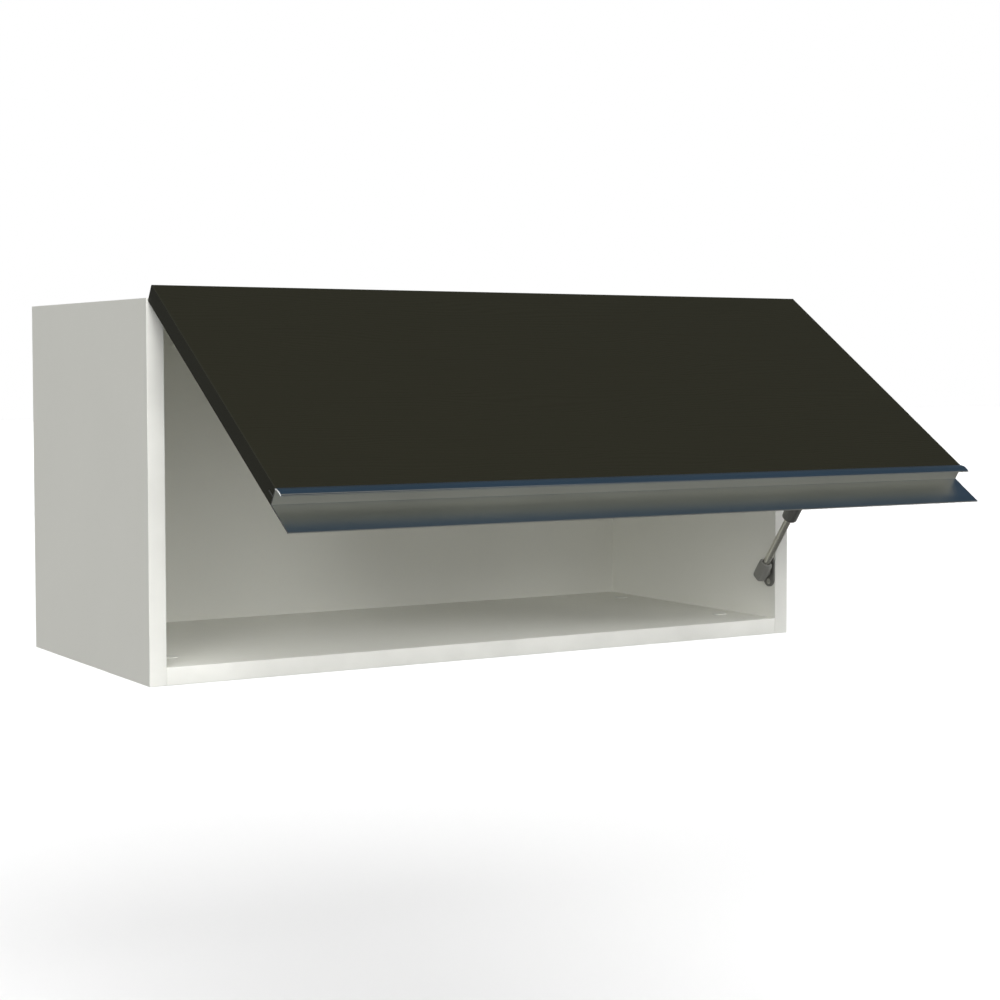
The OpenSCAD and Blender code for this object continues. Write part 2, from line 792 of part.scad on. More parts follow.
module strut_door_screw_holes() {
    at_door_bracket_screws() screw_hole_x(bracket_screw_r, bracket_screw_head_r, bracket_screw_l, plate_t);
}

// The arm's outline, tapering to its round end, or the same outline set in
module arm_outline(inset) {
    r = lug_r - inset;
    foot = arm_foot - inset;
    inside_end = 0.3;  // the straight edges end just inside the round end
    polygon([[0, -foot], [stud_behind, inside_end - r], [stud_behind, r - inside_end], [0, foot]]);
    translate([stud_behind, 0]) circle(r);
}

// Pressed bracket: a plate on the door and a tapered arm with a rim round its edge,
// which carries the stud
module strut_door_bracket() {
    color(dark_plastic) on_door() difference() {
        union() {
            translate([lug_x + plate_t - door_plate_w / 2, plate_t, -stud_below]) rotate([90, 0, 0])
                linear_extrude(plate_t) rounded(door_plate_w, door_plate_l, plate_corner);
            translate([lug_x + plate_t - rim_w, 0, -stud_below]) rotate([90, 0, 90]) difference() {
                linear_extrude(rim_w) arm_outline(0);
                translate([0, 0, -1]) linear_extrude(rim_w - plate_t + 1) arm_outline(plate_t);
            }
        }
        strut_door_screw_holes();
        translate([lug_x - 1, stud_behind, -stud_below]) rod_x(stud_shank_r + seat, plate_t + 2);
    }
}

// Stud on the arm, which ends just short of the socket's face
module strut_door_stud() {
    rivet_r = 2.8;
    rivet_t = 0.8;
    shoulder_r = 4;
    color(steel) on_door() translate([lug_x, stud_behind, -stud_below]) rotate([0, 90, 0]) rotate_extrude() {
        translate([0, -rivet_t]) square([rivet_r, rivet_t]);
        translate([0, -eps]) square([stud_shank_r, plate_t + 2 * eps]);
        translate([0, plate_t]) square([shoulder_r, 1]);
        translate([0, plate_t]) square([stud_r, stud_out]);
    }
}

module strut_door_screws() {
    color(zinc) on_door() at_door_bracket_screws()
        screw_x(bracket_screw_r, bracket_screw_head_r, bracket_screw_l, plate_t);
}

side_panel_left();
side_panel_right();
top_panel();
bottom_panel();
back_panel();
hanging_rail();
side_edge_band_left();
side_edge_band_right();
top_edge_band();
bottom_edge_band();
cam_locks();
cam_bolts();
panel_dowels();
rail_dowels();
cam_caps();
back_nails();
hinge_left_fixed_leaf();
hinge_right_fixed_leaf();
hinge_left_pin();
hinge_right_pin();
hinge_fixed_screws();
hinge_left_door_leaf();
hinge_right_door_leaf();
hinge_door_screws();
door_panel();
door_edge_band_left();
door_edge_band_right();
door_edge_band_top();
handle_profile();
strut_side_bracket();
strut_side_ball_stud();
strut_side_screws();
strut_rod_socket();
strut_rod();
strut_piston();
strut_cylinder();
strut_rod_guide();
strut_cylinder_socket();
strut_door_bracket();
strut_door_stud();
strut_door_screws();
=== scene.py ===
"""Lift-up wall cabinet: finishes, rounded edges, caps, screws and studio stage.

The construction comes from the packed frame. Each operator dresses one group of
pieces, and the panel in the 3D view's sidebar lists them in order.
"""

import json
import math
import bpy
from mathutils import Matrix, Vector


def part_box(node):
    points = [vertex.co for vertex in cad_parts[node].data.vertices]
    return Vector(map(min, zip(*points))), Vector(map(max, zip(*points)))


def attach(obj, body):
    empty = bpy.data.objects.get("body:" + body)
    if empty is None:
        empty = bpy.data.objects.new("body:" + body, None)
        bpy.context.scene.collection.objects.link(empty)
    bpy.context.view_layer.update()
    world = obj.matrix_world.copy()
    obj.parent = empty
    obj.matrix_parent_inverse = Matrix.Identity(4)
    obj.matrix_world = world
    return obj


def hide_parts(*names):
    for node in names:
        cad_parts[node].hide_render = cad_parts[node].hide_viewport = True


bl_info = {
    "name": "Lift-up wall cabinet",
    "version": (1, 0, 0),
    "blender": (4, 5, 0),
    "location": "View3D > Sidebar > Cabinet",
    "description": "Finishes, rounded edges, caps and screws of a lift-up wall cabinet",
    "category": "Object",
}

import bmesh
import bpy
from bpy.props import FloatProperty, FloatVectorProperty, IntProperty, PointerProperty
from mathutils import Matrix, Vector

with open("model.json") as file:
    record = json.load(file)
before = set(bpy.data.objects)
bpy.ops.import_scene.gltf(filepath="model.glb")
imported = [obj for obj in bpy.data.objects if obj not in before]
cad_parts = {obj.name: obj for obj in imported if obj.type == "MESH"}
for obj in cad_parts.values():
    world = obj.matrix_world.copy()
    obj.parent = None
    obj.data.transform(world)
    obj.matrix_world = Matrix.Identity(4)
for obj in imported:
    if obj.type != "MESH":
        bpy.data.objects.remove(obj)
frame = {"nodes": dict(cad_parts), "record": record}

SLOT_OF = {part["node"]: part["material_slot"] for part in frame["record"]["subparts"]}
BODY_OF = {
    node: body for body, nodes in frame["record"]["behaviour"]["bodies"].items() for node in nodes
}
OPEN_ANGLE = math.radians(-min(frame["record"]["behaviour"]["joints"][0]["range_deg"]))
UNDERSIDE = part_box("side_panel_left")[0].z
BEHIND_DOOR = Vector((0, math.cos(OPEN_ANGLE), -math.sin(OPEN_ANGLE)))
HAIR = 0.00001  # play allowed when a place is compared, in metres
JOINED = 0.000004  # corners of CAD triangles this close are one corner

# What shiny surfaces reflect, from straight below to straight above
GROUND = (0.130, 0.130, 0.122, 1)
HORIZON = (0.260, 0.258, 0.238, 1)
SKY_MIDDLE = (0.088, 0.107, 0.133, 1)
SKY_HIGH = (0.030, 0.052, 0.083, 1)
SKY_TOP = (0.026, 0.047, 0.076, 1)


# ---------------------------------------------------------------- sizes and finishes


class BoardSettings(bpy.types.PropertyGroup):
    """Carcass boards and their edge bands"""

    face: FloatVectorProperty(
        name="Board white", description="Melamine face of the boards", subtype="COLOR",
        size=3, min=0, max=1, default=(0.85, 0.85, 0.79),
    )
    band: FloatVectorProperty(
        name="Band white", description="Edge bands and cover caps", subtype="COLOR",
        size=3, min=0, max=1, default=(0.80, 0.80, 0.753),
    )
    edge_radius: FloatProperty(
        name="Edge radius", description="Rounding of the bands' corners",
        subtype="DISTANCE", unit="LENGTH", min=0.0002, max=0.001, default=0.0006, precision=4,
    )


class DoorSettings(bpy.types.PropertyGroup):
    """Door board with its embossed grain"""

    face: FloatVectorProperty(
        name="Door black", description="Face of the door board", subtype="COLOR",
        size=3, min=0, max=1, default=(0.0150, 0.0143, 0.0088),
    )
    band: FloatVectorProperty(
        name="Door band black", description="Edge bands of the door", subtype="COLOR",
        size=3, min=0, max=1, default=(0.020, 0.020, 0.014),
    )
    grain_pitch: FloatProperty(
        name="Grain pitch", description="Distance between two grain lines",
        subtype="DISTANCE", unit="LENGTH", min=0.001, max=0.01, default=0.0036, precision=4,
    )
    grain_depth: FloatProperty(
        name="Grain depth", description="Depth of the embossing",
        subtype="DISTANCE", unit="LENGTH", min=0.0, max=0.0005, default=0.00006, precision=5,
    )
    edge_radius: FloatProperty(
        name="Edge radius", description="Rounding of the bands' corners",
        subtype="DISTANCE", unit="LENGTH", min=0.0002, max=0.0009, default=0.0005, precision=4,
    )


class ProfileSettings(bpy.types.PropertyGroup):
    """Extruded finger profile"""

    corner: FloatProperty(
        name="Inner corner", description="Radius of the inner corner of the finger hollow",
        subtype="DISTANCE", unit="LENGTH", min=0.0005, max=0.014, default=0.0008, precision=4,
    )
    metal: FloatVectorProperty(
        name="Metal", description="Dark anodised surface", subtype="COLOR",
        size=3, min=0, max=1, default=(0.94, 0.945, 0.90),
    )
    sawn: FloatVectorProperty(
        name="Sawn ends", description="Bare metal at the cut ends", subtype="COLOR",
        size=3, min=0, max=1, default=(0.10, 0.103, 0.103),
    )
    # painted highlight: a near-white colour on the end of the lip stands in for the light it catches
    lip_end_highlight: FloatVectorProperty(
        name="Lip end", description="Painted highlight on the end of the lip", subtype="COLOR",
        size=3, min=0, max=1, default=(0.92, 0.93, 0.93),
    )
    roughness: FloatProperty(
        name="Roughness", description="Roughness of the anodised surface",
        subtype="FACTOR", min=0.0, max=1.0, default=0.36,
    )


class StrutSettings(bpy.types.PropertyGroup):
    """Gas strut and its brackets"""

    plastic: FloatVectorProperty(
        name="Socket plastic", description="Moulded end sockets", subtype="COLOR",
        size=3, min=0, max=1, default=(0.26, 0.26, 0.24),
    )
    paint: FloatVectorProperty(
        name="Cylinder paint", description="Cylinder and brackets", subtype="COLOR",
        size=3, min=0, max=1, default=(0.18, 0.18, 0.167),
    )
    seal_height: FloatProperty(
        name="Seal height", description="Lip of the seal round the rod",
        subtype="DISTANCE", unit="LENGTH", min=0.0002, max=0.00036, default=0.00034, precision=5,
    )


class FixingSettings(bpy.types.PropertyGroup):
    """Screws and cover caps"""

    recess_width: FloatProperty(
        name="Recess width", description="Width of a slot in the cross recess of the screws",
        subtype="DISTANCE", unit="LENGTH", min=0.0003, max=0.001, default=0.0006, precision=4,
    )
    recess_depth: FloatProperty(
        name="Recess depth", description="Depth of the cross recess",
        subtype="DISTANCE", unit="LENGTH", min=0.0003, max=0.0015, default=0.0008, precision=4,
    )
    cap_sides: IntProperty(
        name="Cap sides", description="Segments round a cover cap", min=24, max=96, default=64,
    )


class StageSettings(bpy.types.PropertyGroup):
    """Floor, lights and camera"""

    floor_drop: FloatProperty(
        name="Floor drop", description="Distance from the cabinet's underside to the floor",
        subtype="DISTANCE", unit="LENGTH", min=0.0, max=2.0, default=0.55,
    )
    bounce: FloatProperty(
        name="Floor bounce", description="Strength of the light from below",
        min=0.0, max=3.0, default=0.07,
    )
    overhead: FloatProperty(
        name="Overhead light", description="Strength of the soft light from straight above",
        min=0.0, max=20.0, default=1.78,
    )
    key: FloatProperty(
        name="Key light", description="Strength of the soft lights from the left and the front",
        min=0.0, max=20.0, default=1.87,
    )
    fill: FloatProperty(
        name="Fill light", description="Strength of the low soft light from the right",
        min=0.0, max=20.0, default=1.97,
    )
    inner: FloatProperty(
        name="Inner light", description="Power of the soft panel under the raised door, in watts",
        min=0.0, max=10.0, default=0.43,
    )
    focal_length: FloatProperty(
        name="Focal length", description="Lens for a 36 mm wide frame, in millimetres",
        min=20.0, max=200.0, default=74.784,
    )


SETTINGS = {
    "cabinet_boards": BoardSettings,
    "cabinet_door": DoorSettings,
    "cabinet_profile": ProfileSettings,
    "cabinet_strut": StrutSettings,
    "cabinet_fixings": FixingSettings,
    "cabinet_stage": StageSettings,
}


# ---------------------------------------------------------------- pieces


def clear_selection():
    """Leave edit mode and deselect everything."""
    if bpy.context.object and bpy.context.object.mode != "OBJECT":
        bpy.ops.object.mode_set(mode="OBJECT")
    bpy.ops.object.select_all(action="DESELECT")


def pick(piece):
    """Make piece the only selected and active object."""
    clear_selection()
    piece.select_set(True)
    bpy.context.view_layer.objects.active = piece


def settle(piece, body, slot, *nodes):
    """Put the piece's place into its mesh, then let it ride on its body."""
    pick(piece)
    bpy.ops.object.transform_apply(location=True, rotation=True, scale=True)
    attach(piece, body)
    if nodes:
        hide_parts(*nodes)


def merged_copy(cad_node, name):
    """A copy of a CAD node with its loose triangles joined and its flat faces cleared."""
    piece = bpy.data.objects.new(name, frame["nodes"][cad_node].data.copy())
    piece.data.materials.clear()
    bpy.context.scene.collection.objects.link(piece)
    pick(piece)
    bpy.ops.object.mode_set(mode="EDIT")
    bpy.ops.mesh.select_all(action="SELECT")
    bpy.ops.mesh.remove_doubles(threshold=JOINED)
    bpy.ops.mesh.dissolve_limited(angle_limit=math.radians(0.5))
    bpy.ops.object.mode_set(mode="OBJECT")
    return piece


def soft_edges(piece, width, segments, angle):
    """Round the piece's sharp edges with an applied bevel and smooth the shading."""
    pick(piece)
    bevel = piece.modifiers.new("rounded edges", "BEVEL")
    bevel.width = width
    bevel.segments = segments
    bevel.limit_method = "ANGLE"
    bevel.angle_limit = math.radians(angle)
    bevel.harden_normals = False
    bpy.ops.object.modifier_apply(modifier=bevel.name)
    bpy.ops.object.shade_smooth_by_angle(angle=math.radians(35))


def select_edges(piece, wanted):
    """In edit mode, select only the edges whose two ends pass the test."""
    mesh = bmesh.from_edit_mesh(piece.data)
    for edge in mesh.edges:
        a, b = (v.co for v in edge.verts)
        edge.select_set(wanted(a, b))
    mesh.select_flush_mode()
    bmesh.update_edit_mesh(piece.data)


# ---------------------------------------------------------------- finishes


def blank_material(name):
    """A new node material with its shader, and a helper that adds linked nodes."""
    material = bpy.data.materials.new(name)
    material.use_nodes = True
    tree = material.node_tree
    tree.nodes.clear()
    output = tree.nodes.new("ShaderNodeOutputMaterial")
    shader = tree.nodes.new("ShaderNodeBsdfPrincipled")
    tree.links.new(shader.outputs["BSDF"], output.inputs["Surface"])
    return material, tree, shader


def node(tree, kind, values=None, **settings):
    """Add a node, set its properties and its input values, and return it."""
    made = tree.nodes.new(kind)
    for key, value in settings.items():
        setattr(made, key, value)
    for key, value in (values or {}).items():
        if isinstance(value, bpy.types.NodeSocket):
            tree.links.new(value, made.inputs[key])
        else:
            made.inputs[key].default_value = value
    return made


def place(tree, scale=(1, 1, 1), turn=(0, 0, 0)):
    """Object coordinates, turned and scaled; a scale is in cells per metre."""
    start = node(tree, "ShaderNodeTexCoord")
    spun = node(tree, "ShaderNodeMapping", {"Vector": start.outputs["Object"], "Rotation": turn})
    return node(
        tree, "ShaderNodeMapping", {"Vector": spun.outputs["Vector"], "Scale": scale}
    ).outputs["Vector"]


def noise(tree, vector, detail=2.0, rough=0.5):
    """Noise value at a vector."""
    return node(
        tree, "ShaderNodeTexNoise", {"Vector": vector, "Scale": 1.0, "Detail": detail, "Roughness": rough},
    ).outputs["Fac"]


def remap(tree, value, low, high, start=0.0, end=1.0):
    """Map a value from start..end to low..high."""
    return node(
        tree, "ShaderNodeMapRange",
        {"Value": value, "From Min": start, "From Max": end, "To Min": low, "To Max": high},
    ).outputs["Result"]


def calc(tree, operation, a, b=0.5):
    """One step of arithmetic on numbers or sockets."""
    return node(tree, "ShaderNodeMath", {0: a, 1: b}, operation=operation).outputs[0]


def blend_colours(tree, factor, a, b):
    """Mix two colours, each a tuple or a socket, by a factor that is a socket."""
    made = node(tree, "ShaderNodeMix", {0: factor}, data_type="RGBA")
    for socket, value in ((made.inputs[6], a), (made.inputs[7], b)):
        if isinstance(value, bpy.types.NodeSocket):
            tree.links.new(value, socket)
        else:
            socket.default_value = (*value[:3], 1.0)
    return made.outputs[2]


def shade(colour, factor):
    """A colour made lighter or darker."""
    return tuple(min(1.0, c * factor) for c in colour[:3])


def bump(tree, shader, height, distance, strength):
    """Join a height to the shader's normal; distance is the height of a full step in metres."""
    made = node(tree, "ShaderNodeBump", {"Height": height, "Distance": distance, "Strength": strength})
    tree.links.new(made.outputs["Normal"], shader.inputs["Normal"])


def clouded(tree, value, a, b):
    """Mix two colours by a noise value, softly."""
    return blend_colours(tree, remap(tree, value, 0, 1, 0.3, 0.7), a, b)


def roughen(tree, shader, value, low, high):
    """Let a noise value carry the shader's roughness from low to high."""
    tree.links.new(remap(tree, value, low, high, 0.3, 0.7), shader.inputs["Roughness"])


def melamine(name, colour):
    """White melamine face with a faint pearl texture; raw chipboard on faces towards the wall."""
    material, tree, shader = blank_material(name)
    cloud = noise(tree, place(tree, (5, 5, 5)), detail=3)
    speck = noise(tree, place(tree, (900, 900, 900)), detail=1)
    paint = clouded(tree, cloud, shade(colour, 0.985), shade(colour, 1.01))
    paint = blend_colours(tree, remap(tree, speck, 0, 0.35, 0.4, 0.8), paint, shade(colour, 0.97))
    pearl = noise(tree, place(tree, (420, 420, 420)), detail=2, rough=0.6)
    roughness = remap(tree, noise(tree, place(tree, (60, 60, 60)), detail=2), 0.42, 0.52, 0.3, 0.7)
    chips = node(
        tree, "ShaderNodeTexVoronoi", {"Vector": place(tree, (260, 420, 520)), "Scale": 1.0}, feature="F1",
    )
    fibre = noise(tree, place(tree, (120, 700, 900)), detail=3)
    tan = blend_colours(tree, chips.outputs["Color"], (0.34, 0.22, 0.12), (0.56, 0.41, 0.25))
    tan = blend_colours(tree, remap(tree, fibre, 0, 0.6, 0.35, 0.75), tan, (0.25, 0.16, 0.09))
    facing = node(tree, "ShaderNodeSeparateXYZ", {
        "Vector": node(tree, "ShaderNodeNewGeometry").outputs["Normal"]}).outputs["Y"]
    bare = remap(tree, facing, 0, 1, 0.80, 0.86)
    worn = node(tree, "ShaderNodeMix", {0: bare, 2: roughness, 3: 0.9}, data_type="FLOAT")
    tree.links.new(blend_colours(tree, bare, paint, tan), shader.inputs["Base Color"])
    tree.links.new(worn.outputs[0], shader.inputs["Roughness"])
    shader.inputs["Specular IOR Level"].default_value = 0.35
    bump(tree, shader, pearl, 0.00003, 0.6)
    return material


def plain_plastic(name, colour, roughness, grain=900.0, depth=0.00002, gloss=0.5):
    """Moulded plastic or band with a fine, even skin."""
    material, tree, shader = blank_material(name)
    cloud = noise(tree, place(tree, (18, 18, 18)), detail=3)
    skin = noise(tree, place(tree, (grain, grain, grain)), detail=2)
    paint = clouded(tree, cloud, shade(colour, 0.95), shade(colour, 1.04))
    tree.links.new(paint, shader.inputs["Base Color"])
    roughen(tree, shader, skin, roughness - 0.06, roughness + 0.06)
    shader.inputs["Specular IOR Level"].default_value = gloss
    bump(tree, shader, skin, depth, 0.7)
    return material


def embossed_black(name, settings):
    """Black board whose embossed grain runs along the door's width."""
    material, tree, shader = blank_material(name)
    turn = (OPEN_ANGLE, 0, 0)
    lines = 1.0 / settings.grain_pitch
    flow = noise(tree, place(tree, (2.2, 9, 9), turn), detail=2)
    bend = noise(tree, place(tree, (9, 40, 40), turn), detail=2)
    across = node(tree, "ShaderNodeSeparateXYZ", {"Vector": place(tree, (1, 1, 1), turn)}).outputs["Z"]
    drift = calc(tree, "MULTIPLY", flow, 0.085)
    wobble = calc(tree, "MULTIPLY", bend, 0.006)
    height = calc(tree, "ADD", calc(tree, "ADD", across, drift), wobble)
    ring = calc(tree, "SINE", calc(tree, "MULTIPLY", height, lines * 2 * math.pi))
    ring = remap(tree, ring, 0, 1, -1, 1)
    pores = noise(tree, place(tree, (26, 1300, 1300), turn), detail=3, rough=0.6)
    strokes = noise(tree, place(tree, (9, 320, 320), turn), detail=2)
    mask = calc(tree, "MULTIPLY", ring, remap(tree, strokes, 0.15, 1, 0.35, 0.65))
    open_pores = calc(tree, "MULTIPLY", mask, remap(tree, pores, 0, 1, 0.52, 0.72))
    depth = calc(tree, "ADD", open_pores, calc(tree, "MULTIPLY", mask, 0.45))
    tone = clouded(tree, strokes, shade(settings.face, 0.97), shade(settings.face, 1.04))
    tone = blend_colours(tree, remap(tree, depth, 0, 0.30), tone, shade(settings.face, 0.72))
    tree.links.new(tone, shader.inputs["Base Color"])
    tree.links.new(remap(tree, depth, 0.50, 0.62), shader.inputs["Roughness"])
    shader.inputs["Specular IOR Level"].default_value = 0.15
    bump(tree, shader, calc(tree, "SUBTRACT", 1.0, depth), settings.grain_depth, 0.8)
    return material


def brushed_metal(name, colour, roughness, along, depth=0.000004, turn=(0, 0, 0)):
    """Metal with fine drawing lines along one axis."""
    material, tree, shader = blank_material(name)
    fine, long = 2600.0, 12.0
    scale = tuple(long if axis == along else fine for axis in "XYZ")
    lines = noise(tree, place(tree, scale, turn), detail=3, rough=0.6)
    cloud = noise(tree, place(tree, (7, 30, 30), turn), detail=3)
    paint = clouded(tree, cloud, shade(colour, 0.96), shade(colour, 1.04))
    tree.links.new(paint, shader.inputs["Base Color"])
    roughen(tree, shader, lines, roughness - 0.05, roughness + 0.07)
    shader.inputs["Metallic"].default_value = 1.0
    bump(tree, shader, lines, depth, 0.5)
    return material


def sawn_end(name, colour, highlight_colour):
    """Sawn end of the profile, with a painted highlight on the end of its outer lip."""
    material, tree, shader = blank_material(name)
    lip_reach, change = 0.0035, 0.0004
    front = min(BEHIND_DOOR.dot(vertex.co) for vertex in frame["nodes"]["handle_profile"].data.vertices)
    upright = place(tree, (1, 1, 1), (OPEN_ANGLE, 0, 0))
    behind = node(tree, "ShaderNodeSeparateXYZ", {"Vector": upright}).outputs["Y"]
    # painted highlight: the band at the end of the lip is painted near white
    highlight_mask = remap(tree, behind, 1, 0, front + lip_reach - change, front + lip_reach + change)
    marks = noise(tree, place(tree, (2600, 12, 2600)), detail=3, rough=0.6)
    tree.links.new(blend_colours(tree, highlight_mask, colour, highlight_colour), shader.inputs["Base Color"])
    roughen(tree, shader, marks, 0.40, 0.55)
    shader.inputs["Metallic"].default_value = 0.3
    bump(tree, shader, marks, 0.000012, 0.5)
    return material


def satin_paint(name, colour, roughness):
    """Stoved paint with a faint orange peel."""
    material, tree, shader = blank_material(name)
    peel = noise(tree, place(tree, (380, 380, 380)), detail=2)
    cloud = noise(tree, place(tree, (25, 25, 25)), detail=2)
    paint = clouded(tree, cloud, shade(colour, 0.94), shade(colour, 1.06))
    tree.links.new(paint, shader.inputs["Base Color"])
    roughen(tree, shader, peel, roughness - 0.05, roughness + 0.05)
    bump(tree, shader, peel, 0.00002, 0.6)
    return material


def turned_wood(name, light, dark):
    """Plain beech with short flecks along the cabinet's width."""
    material, tree, shader = blank_material(name)
    fleck = noise(tree, place(tree, (30, 700, 700)), detail=4, rough=0.65)
    paint = blend_colours(tree, remap(tree, fleck, 0, 1, 0.35, 0.65), light, dark)
    tree.links.new(paint, shader.inputs["Base Color"])
    tree.links.new(remap(tree, fleck, 0.55, 0.75), shader.inputs["Roughness"])
    bump(tree, shader, fleck, 0.00005, 0.6)
    return material


FINISHES = {}


def finish(slot):
    """The material of a slot, made once."""
    scene = bpy.context.scene
    boards, door, profile, strut = (
        scene.cabinet_boards, scene.cabinet_door, scene.cabinet_profile, scene.cabinet_strut,
    )
    recipes = {
        "white_board": lambda: melamine("white melamine board", boards.face),
        "back_board": lambda: melamine("white faced fibreboard", shade(boards.face, 0.99)),
        "white_band": lambda: plain_plastic("white edge band", boards.band, 0.42),
        "white_plastic": lambda: plain_plastic("white cap plastic", boards.band, 0.36, 700, 0.00001),
        "black_board": lambda: embossed_black("black embossed board", door),
        "black_band": lambda: plain_plastic("black edge band", door.band, 0.5, 1200, 0.00002, 0.15),
        "anodised_aluminium": lambda: brushed_metal(
            "dark anodised aluminium", profile.metal, profile.roughness, "X", 0.000001, (OPEN_ANGLE, 0, 0),
        ),
        "sawn_aluminium": lambda: sawn_end("sawn aluminium", profile.sawn, profile.lip_end_highlight),
        "zinc_alloy": lambda: brushed_metal("die-cast zinc", (0.52, 0.52, 0.50), 0.48, "Z", 0.00001),
        "zinc_plated_steel": lambda: brushed_metal("zinc plated steel", (0.60, 0.60, 0.58), 0.32, "Z"),
        "hinge_steel": lambda: brushed_metal("nickel plated steel", (0.56, 0.55, 0.53), 0.30, "X"),
        "ball_steel": lambda: brushed_metal("turned steel", (0.55, 0.55, 0.54), 0.26, "X"),
        "rod_steel": lambda: brushed_metal("ground rod", (0.80, 0.79, 0.73), 0.30, "X", 0.000002),
        "dark_painted_steel": lambda: satin_paint("dark grey paint", strut.paint, 0.42),
        "dark_plastic": lambda: plain_plastic("dark socket plastic", strut.plastic, 0.46, 800, 0.00002),
        "guide_plastic": lambda: plain_plastic("seal and guide", (0.05,) * 3, 0.55, 700, 0.00001),
        "beech": lambda: turned_wood("beech dowel", (0.62, 0.43, 0.25), (0.46, 0.30, 0.16)),
    }
    if slot not in FINISHES:
        FINISHES[slot] = recipes[slot]()
    return FINISHES[slot]


def coat(piece, slot):
    """Give a piece one finish all over."""
    piece.data.materials.clear()
    piece.data.materials.append(finish(slot))


def coat_nodes(*names):
    """Give CAD nodes the finish of their slot."""
    for name in names:
        coat(frame["nodes"][name], SLOT_OF[name])


def rounded_band(name, radius, outer):
    """Replace an edge band by a copy whose outer edges, picked by a test, are rounded."""
    coat_nodes(name)
    band = merged_copy(name, name.replace("edge_band", "rounded_band"))
    bpy.ops.object.mode_set(mode="EDIT")
    select_edges(band, outer)
    bpy.ops.mesh.bevel(offset=radius, segments=4, profile=0.5, affect="EDGES")
    bpy.ops.object.mode_set(mode="OBJECT")
    bpy.ops.object.shade_smooth_by_angle(angle=math.radians(30))
    coat(band, SLOT_OF[name])
    settle(band, BODY_OF[name], SLOT_OF[name], name)


def smooth_copy(name, new_name, angle):
    """Replace a CAD node by a merged copy with smooth shading over its rounded edges."""
    coat_nodes(name)
    piece = merged_copy(name, new_name)
    bpy.ops.object.shade_smooth_by_angle(angle=math.radians(angle))
    coat(piece, SLOT_OF[name])
    settle(piece, BODY_OF[name], SLOT_OF[name], name)


def moulded_copy(name, new_name, seat, seat_radius):
    """Replace a CAD node by a copy whose outer edges are softened, away from its ball seat."""
    voxel, passes = 0.0004, 220
    coat_nodes(name)
    piece = merged_copy(name, new_name)
    piece.data.remesh_voxel_size = voxel
    bpy.ops.object.voxel_remesh()
    outside = piece.vertex_groups.new(name="outside")
    away = [vertex.index for vertex in piece.data.vertices if (vertex.co - seat).length > seat_radius]
    outside.add(away, 1.0, "REPLACE")
    soften = piece.modifiers.new("softened", "SMOOTH")
    soften.factor = 0.5
    soften.iterations = passes
    soften.vertex_group = outside.name
    bpy.ops.object.modifier_apply(modifier=soften.name)
    bpy.ops.object.shade_smooth()
    coat(piece, SLOT_OF[name])
    settle(piece, BODY_OF[name], SLOT_OF[name], name)


def recessed_screws(name, new_name, outward, settings):
    """Replace a node of screws by copies with a cross recess in each head."""
    coat_nodes(name)
    merged_copy(name, new_name)
    bpy.ops.object.mode_set(mode="EDIT")
    bpy.ops.mesh.separate(type="LOOSE")
    bpy.ops.object.mode_set(mode="OBJECT")
    screws = list(bpy.context.selected_objects)
    for screw in screws:
        top = max(outward.dot(vertex.co) for vertex in screw.data.vertices)
        rim = [vertex.co for vertex in screw.data.vertices if outward.dot(vertex.co) > top - HAIR]
        centre = sum(rim, Vector()) / len(rim)
        length = 1.1 * max((corner - centre).length for corner in rim)
        facing = outward.to_track_quat("Z", "Y").to_matrix().to_4x4()
        for turn in (0, 90):
            clear_selection()
            bpy.ops.mesh.primitive_cube_add(size=1, location=centre)
            cutter = bpy.context.object
            cutter.rotation_euler = (facing @ Matrix.Rotation(math.radians(turn), 4, "Z")).to_euler()
            cutter.scale = (settings.recess_width, length, 2 * settings.recess_depth)
            pick(screw)
            cut = screw.modifiers.new("recess", "BOOLEAN")
            cut.operation = "DIFFERENCE"
            cut.solver = "EXACT"
            cut.object = cutter
            bpy.ops.object.modifier_apply(modifier=cut.name)
            pick(cutter)
            bpy.ops.object.delete()
    clear_selection()
    for screw in screws:
        screw.select_set(True)
    bpy.context.view_layer.objects.active = screws[0]
    if len(screws) > 1:
        bpy.ops.object.join()
    piece = bpy.context.object
    piece.name = new_name
    bpy.ops.object.shade_smooth_by_angle(angle=math.radians(30))
    coat(piece, SLOT_OF[name])
    settle(piece, BODY_OF[name], SLOT_OF[name], name)


# ---------------------------------------------------------------- operators


class CABINET_OT_carcass(bpy.types.Operator):
    """Coat the carcass boards and give them edge bands with rounded corners"""

    bl_idname = "cabinet.carcass"
    bl_label = "Carcass"

    def execute(self, context):
        radius = context.scene.cabinet_boards.edge_radius
        coat_nodes(
            "side_panel_left", "side_panel_right", "top_panel", "bottom_panel", "back_panel",
            "hanging_rail", "top_edge_band",
        )
        for name in ("side_edge_band_left", "side_edge_band_right", "bottom_edge_band"):
            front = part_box(name)[0].y + HAIR
            rounded_band(name, radius, lambda a, b, front=front: a.y < front and b.y < front)
        return {"FINISHED"}


class CABINET_OT_joinery(bpy.types.Operator):
    """Coat the cams, bolts, dowels and nails that hold the boards together"""

    bl_idname = "cabinet.joinery"
    bl_label = "Joinery"

    def execute(self, context):
        coat_nodes("cam_locks", "cam_bolts", "panel_dowels", "rail_dowels", "back_nails")
        return {"FINISHED"}


